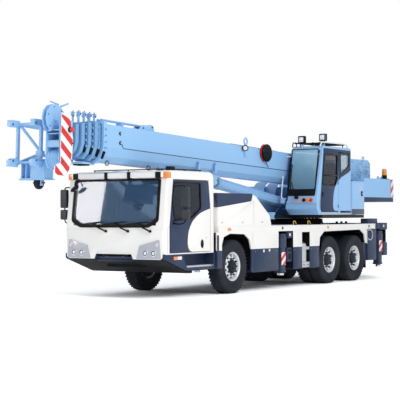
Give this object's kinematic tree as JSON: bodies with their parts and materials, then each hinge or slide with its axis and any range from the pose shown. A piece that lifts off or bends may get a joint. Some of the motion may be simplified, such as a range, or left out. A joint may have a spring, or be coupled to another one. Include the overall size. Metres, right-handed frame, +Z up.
{
  "type": "mobile crane",
  "caption": "Truck crane with a full-width driver's cab, slewing upper structure with its own cab, telescopic boom with luffing cylinder, stowed lattice jib and sliding outriggers.",
  "frame": {"origin": "on the ground under the middle of the crane's length and width", "axes": "+X forward along the carrier, +Y to the driver's left, +Z up"},
  "size_m": [12.3285, 3.12, 3.6411],
  "materials": {
    "light_blue": "gloss paint",
    "navy": "gloss paint",
    "off_white": "gloss paint",
    "frame_black": "satin chassis paint",
    "black_plastic": "moulded, fine grain",
    "lamp_grey": "clear lens over reflectors",
    "glass": "tinted glass",
    "rubber": "tyre rubber",
    "rim_white": "gloss paint",
    "cast_grey": "cast and machined",
    "silver": "brushed",
    "seat": "woven seat fabric",
    "rod_steel": "hard chrome"
  },
  "bodies": {
    "carrier": {"chassis_frame": "frame_black", "deck": "off_white", "side_boxes": "navy", "canisters": "silver", "engine_hood": "off_white", "engine_block": "cast_grey", "driver_cab_shell": "off_white", "driver_cab_glass": "glass", "cab_bumper": "navy", "headlamps": "lamp_grey", "driver_cab_interior": "seat", "front_axle": "frame_black", "rear_axles": "frame_black"},
    "driver_door_left": {"driver_door_left": "navy", "mirror_left": "black_plastic"},
    "driver_door_right": {"driver_door_right": "navy", "mirror_right": "black_plastic"},
    "knuckle_left": {"knuckle_left": "cast_grey"},
    "knuckle_right": {"knuckle_right": "cast_grey"},
    "front_wheel_left": {"front_tyre_left": "rubber", "front_rim_left": "rim_white"},
    "front_wheel_right": {"front_tyre_right": "rubber", "front_rim_right": "rim_white"},
    "rear_wheels_2_left": {"rear_tyres_2_left": "rubber", "rear_rims_2_left": "rim_white"},
    "rear_wheels_2_right": {"rear_tyres_2_right": "rubber", "rear_rims_2_right": "rim_white"},
    "rear_wheels_3_left": {"rear_tyres_3_left": "rubber", "rear_rims_3_left": "rim_white"},
    "rear_wheels_3_right": {"rear_tyres_3_right": "rubber", "rear_rims_3_right": "rim_white"},
    "outrigger_beam_front_left": {"outrigger_beam_front_left": "navy"},
    "outrigger_jack_front_left": {"outrigger_jack_front_left": "rod_steel"},
    "outrigger_beam_front_right": {"outrigger_beam_front_right": "navy"},
    "outrigger_jack_front_right": {"outrigger_jack_front_right": "rod_steel"},
    "outrigger_beam_rear_left": {"outrigger_beam_rear_left": "navy"},
    "outrigger_jack_rear_left": {"outrigger_jack_rear_left": "rod_steel"},
    "outrigger_beam_rear_right": {"outrigger_beam_rear_right": "navy"},
    "outrigger_jack_rear_right": {"outrigger_jack_rear_right": "rod_steel"},
    "turntable": {"turntable_frame": "light_blue", "turntable_tank": "light_blue", "counterweight": "light_blue", "operator_cab_shell": "light_blue", "operator_cab_glass": "glass", "operator_seat": "seat"},
    "operator_door": {"operator_door": "navy"},
    "winch_drum_main": {"winch_drum_main": "light_blue"},
    "winch_drum_auxiliary": {"winch_drum_auxiliary": "light_blue"},
    "boom_base": {"boom_base": "light_blue", "boom_luff_bracket": "light_blue", "cable_reel": "black_plastic", "stowed_jib": "light_blue"},
    "boom_section_2": {"boom_section_2": "light_blue"},
    "boom_section_3": {"boom_section_3": "light_blue"},
    "boom_section_4": {"boom_section_4": "light_blue"},
    "boom_section_5": {"boom_section_5": "light_blue", "boom_head": "light_blue", "head_sheaves": "cast_grey"},
    "luff_barrel": {"luff_barrel": "light_blue"},
    "luff_rod": {"luff_rod": "rod_steel"}
  },
  "joints": [
    {"name": "steer_left", "type": "hinge", "parent": "carrier", "child": "knuckle_left", "pos_m": [1.7658, 0.9, 0.55], "axis": [0, 0, 1], "range_deg": [-32, 32]},
    {"name": "steer_right", "type": "hinge", "parent": "carrier", "child": "knuckle_right", "pos_m": [1.7658, -0.9, 0.55], "axis": [0, 0, 1], "range_deg": [-32, 32]},
    {"name": "front_wheel_left_spin", "type": "hinge", "parent": "knuckle_left", "child": "front_wheel_left", "pos_m": [1.7658, 1.05, 0.55], "axis": [0, 1, 0], "continuous": true},
    {"name": "front_wheel_right_spin", "type": "hinge", "parent": "knuckle_right", "child": "front_wheel_right", "pos_m": [1.7658, -1.05, 0.55], "axis": [0, 1, 0], "continuous": true},
    {"name": "rear_wheels_2_left_spin", "type": "hinge", "parent": "carrier", "child": "rear_wheels_2_left", "pos_m": [-2.5142, 0.9, 0.55], "axis": [0, 1, 0], "continuous": true},
    {"name": "rear_wheels_2_right_spin", "type": "hinge", "parent": "carrier", "child": "rear_wheels_2_right", "pos_m": [-2.5142, -0.9, 0.55], "axis": [0, 1, 0], "continuous": true},
    {"name": "rear_wheels_3_left_spin", "type": "hinge", "parent": "carrier", "child": "rear_wheels_3_left", "pos_m": [-3.8342, 0.9, 0.55], "axis": [0, 1, 0], "continuous": true},
    {"name": "rear_wheels_3_right_spin", "type": "hinge", "parent": "carrier", "child": "rear_wheels_3_right", "pos_m": [-3.8342, -0.9, 0.55], "axis": [0, 1, 0], "continuous": true},
    {"name": "driver_door_left_hinge", "type": "hinge", "parent": "carrier", "child": "driver_door_left", "pos_m": [4.0658, 1.19, 1.5], "axis": [0, 0, -1], "range_deg": [0, 75]},
    {"name": "driver_door_right_hinge", "type": "hinge", "parent": "carrier", "child": "driver_door_right", "pos_m": [4.0658, -1.19, 1.5], "axis": [0, 0, 1], "range_deg": [0, 75]},
    {"name": "outrigger_front_left_slide", "type": "slide", "parent": "carrier", "child": "outrigger_beam_front_left", "axis": [0, 1, 0], "range_m": [0, 1.55]},
    {"name": "outrigger_front_left_jack", "type": "slide", "parent": "outrigger_beam_front_left", "child": "outrigger_jack_front_left", "axis": [0, 0, -1], "range_m": [0, 0.45]},
    {"name": "outrigger_front_right_slide", "type": "slide", "parent": "carrier", "child": "outrigger_beam_front_right", "axis": [0, -1, 0], "range_m": [0, 1.55]},
    {"name": "outrigger_front_right_jack", "type": "slide", "parent": "outrigger_beam_front_right", "child": "outrigger_jack_front_right", "axis": [0, 0, -1], "range_m": [0, 0.45]},
    {"name": "outrigger_rear_left_slide", "type": "slide", "parent": "carrier", "child": "outrigger_beam_rear_left", "axis": [0, 1, 0], "range_m": [0, 1.55]},
    {"name": "outrigger_rear_left_jack", "type": "slide", "parent": "outrigger_beam_rear_left", "child": "outrigger_jack_rear_left", "axis": [0, 0, -1], "range_m": [0, 0.45]},
    {"name": "outrigger_rear_right_slide", "type": "slide", "parent": "carrier", "child": "outrigger_beam_rear_right", "axis": [0, -1, 0], "range_m": [0, 1.55]},
    {"name": "outrigger_rear_right_jack", "type": "slide", "parent": "outrigger_beam_rear_right", "child": "outrigger_jack_rear_right", "axis": [0, 0, -1], "range_m": [0, 0.45]},
    {"name": "slew", "type": "hinge", "parent": "carrier", "child": "turntable", "pos_m": [-2.9842, 0, 1.5], "axis": [0, 0, 1], "continuous": true},
    {"name": "operator_door_hinge", "type": "hinge", "parent": "turntable", "child": "operator_door", "pos_m": [-2.9842, 1.2, 2.4], "axis": [0, 0, 1], "range_deg": [0, 85]},
    {"name": "winch_main_spin", "type": "hinge", "parent": "turntable", "child": "winch_drum_main", "pos_m": [-5.1942, 0, 2.6], "axis": [0, 1, 0], "continuous": true},
    {"name": "winch_auxiliary_spin", "type": "hinge", "parent": "turntable", "child": "winch_drum_auxiliary", "pos_m": [-5.6042, 0, 2.6], "axis": [0, 1, 0], "continuous": true},
    {"name": "luff", "type": "hinge", "parent": "turntable", "child": "boom_base", "pos_m": [-4.2842, 0, 2.62], "axis": [0, -1, 0], "range_deg": [0, 78]},
    {"name": "telescope_2", "type": "slide", "parent": "boom_base", "child": "boom_section_2", "axis": [0.9993, 0, 0.0384], "range_m": [0, 7.2]},
    {"name": "telescope_3", "type": "slide", "parent": "boom_section_2", "child": "boom_section_3", "axis": [0.9993, 0, 0.0384], "range_m": [0, 7.2]},
    {"name": "telescope_4", "type": "slide", "parent": "boom_section_3", "child": "boom_section_4", "axis": [0.9993, 0, 0.0384], "range_m": [0, 7.2]},
    {"name": "telescope_5", "type": "slide", "parent": "boom_section_4", "child": "boom_section_5", "axis": [0.9993, 0, 0.0384], "range_m": [0, 7.2]},
    {"name": "luff_barrel_pivot", "type": "hinge", "parent": "turntable", "child": "luff_barrel", "pos_m": [-3.1842, 0, 1.78], "axis": [0, -1, 0], "range_deg": [0, 80.19]},
    {"name": "luff_rod_slide", "type": "slide", "parent": "luff_barrel", "child": "luff_rod", "axis": [0.9904, 0, 0.1384], "range_m": [0, 1.746]}
  ],
  "couplings": [
    {"joint": "steer_right", "follows": "steer_left", "ratio": 1},
    {"joint": "telescope_3", "follows": "telescope_2", "ratio": 1},
    {"joint": "telescope_4", "follows": "telescope_2", "ratio": 1},
    {"joint": "telescope_5", "follows": "telescope_2", "ratio": 1},
    {"joint": "luff_barrel_pivot", "follows": "luff", "ratio": 1.0217},
    {"joint": "luff_rod_slide", "follows": "luff", "m_per_rad": 1.2752}
  ]
}
